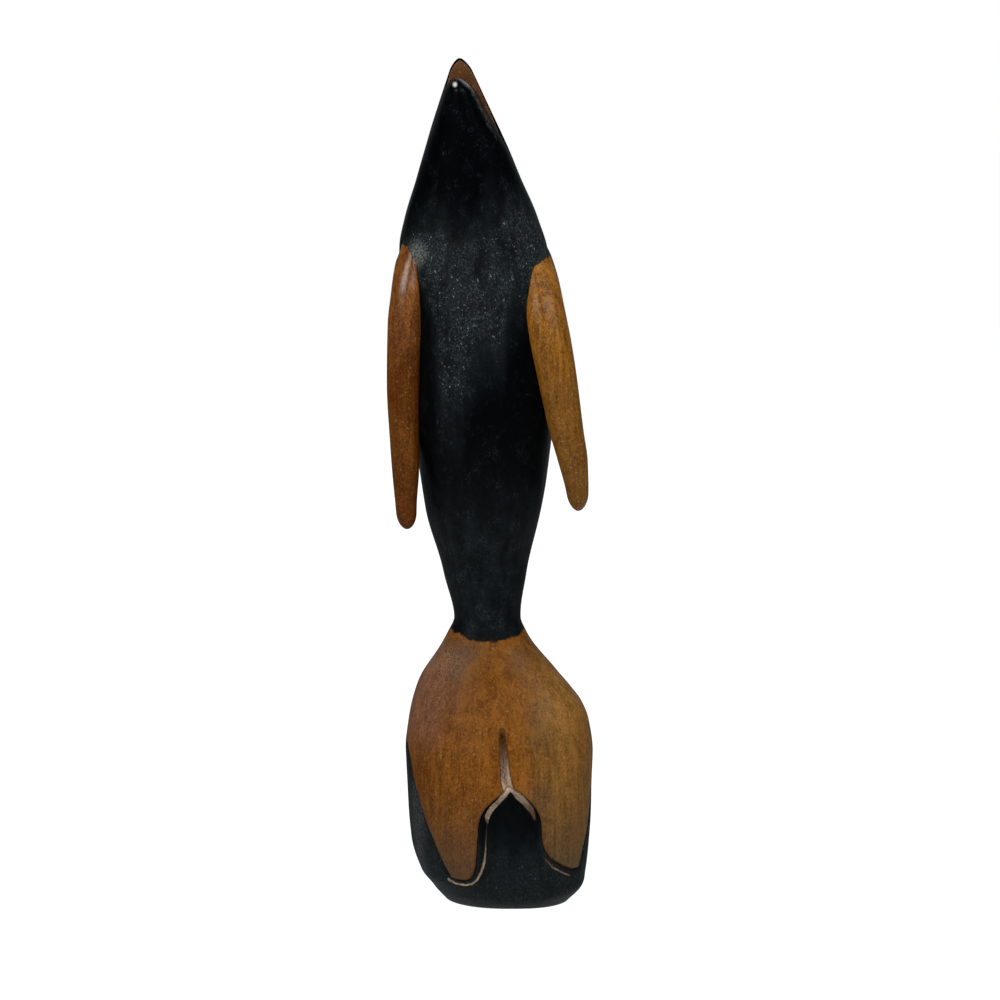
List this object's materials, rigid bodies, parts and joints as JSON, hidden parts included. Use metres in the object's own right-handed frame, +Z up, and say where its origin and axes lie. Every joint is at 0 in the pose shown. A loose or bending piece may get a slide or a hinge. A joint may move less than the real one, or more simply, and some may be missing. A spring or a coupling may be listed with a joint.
{
  "type": "dolphin figurine",
  "caption": "Carved wooden dolphin ornament standing upright on its tail with its beak up, black-painted body on a rounded base, natural brown flippers, tail flukes and mouth lining",
  "frame": {"origin": "a point on the flat underside of the base, under the middle of the base's widest section", "axes": "+Z up, along the dolphin from its tail to its beak; the belly faces -Y; the dolphin's right side is -X"},
  "size_m": [0.0609, 0.0597, 0.25],
  "materials": {
    "black_paint": "satin black paint over wood",
    "brown_wood": "clear satin varnish",
    "eye_wood": "clear satin varnish",
    "dowel_wood": "bare wood"
  },
  "bodies": {
    "root": {"base": "black_paint", "body": "black_paint", "lower_jaw": "black_paint", "tail_flukes": "brown_wood", "mouth_lining": "brown_wood", "right_flipper": "brown_wood", "left_flipper": "brown_wood", "dorsal_fin": "brown_wood", "right_eye": "eye_wood", "left_eye": "eye_wood", "tail_dowel": "dowel_wood", "fluke_dowel_right": "dowel_wood", "fluke_dowel_left": "dowel_wood", "jaw_dowel": "dowel_wood", "flipper_dowel_right_upper": "dowel_wood", "flipper_dowel_right_lower": "dowel_wood", "flipper_dowel_left_upper": "dowel_wood", "flipper_dowel_left_lower": "dowel_wood", "dorsal_dowel_upper": "dowel_wood", "dorsal_dowel_lower": "dowel_wood"}
  },
  "joints": []
}
